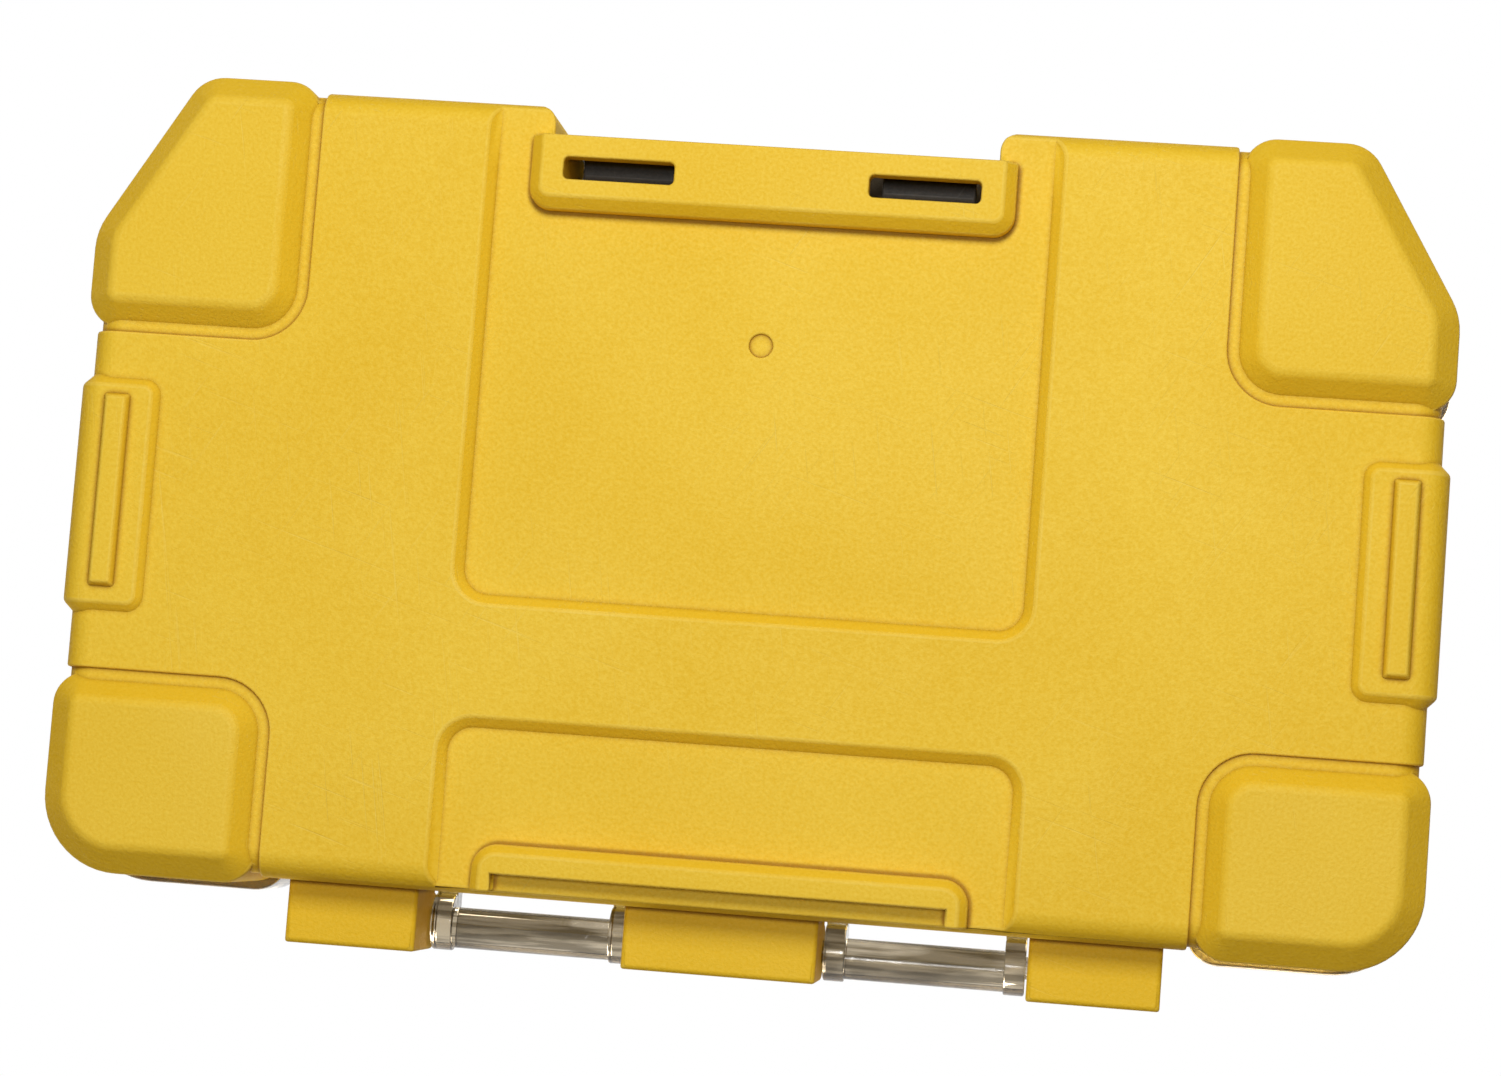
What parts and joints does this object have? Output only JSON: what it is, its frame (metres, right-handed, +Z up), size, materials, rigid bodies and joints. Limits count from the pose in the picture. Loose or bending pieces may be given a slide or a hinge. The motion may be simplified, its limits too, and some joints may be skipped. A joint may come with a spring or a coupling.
{
  "type": "compartment organizer box",
  "caption": "Shallow latching organizer case: moulded tray with corner bumpers, clear hinged lid, front latch and removable dividers.",
  "frame": {"origin": "middle of the underside, on the surface that the bumpers stand on", "axes": "+X along the hinge, +Y from the latch to the hinge, +Z up from the tray to the lid"},
  "size_m": [0.1924, 0.1214, 0.04],
  "materials": {
    "yellow_plastic": "matte, fine moulded grain",
    "clear_plastic": "clear, polished",
    "black_plastic": "satin black",
    "divider_plastic": "satin dark grey"
  },
  "bodies": {
    "base": {"base_shell": "yellow_plastic", "long_divider": "divider_plastic", "front_divider_1": "divider_plastic", "front_divider_2": "divider_plastic", "front_divider_3": "divider_plastic", "rear_divider_1": "divider_plastic", "rear_divider_2": "divider_plastic", "rear_divider_3": "divider_plastic", "rear_divider_4": "divider_plastic"},
    "lid": {"clear_lid": "clear_plastic"},
    "latch": {"latch": "black_plastic"}
  },
  "joints": [
    {"name": "lid_hinge", "type": "hinge", "parent": "base", "child": "lid", "pos_m": [0, 0.05665, 0.024], "axis": [-1, 0, 0], "range_deg": [0, 180]},
    {"name": "latch_pivot", "type": "hinge", "parent": "lid", "child": "latch", "pos_m": [0, -0.0511, 0.0335], "axis": [-1, 0, 0], "range_deg": [0, 100]}
  ]
}
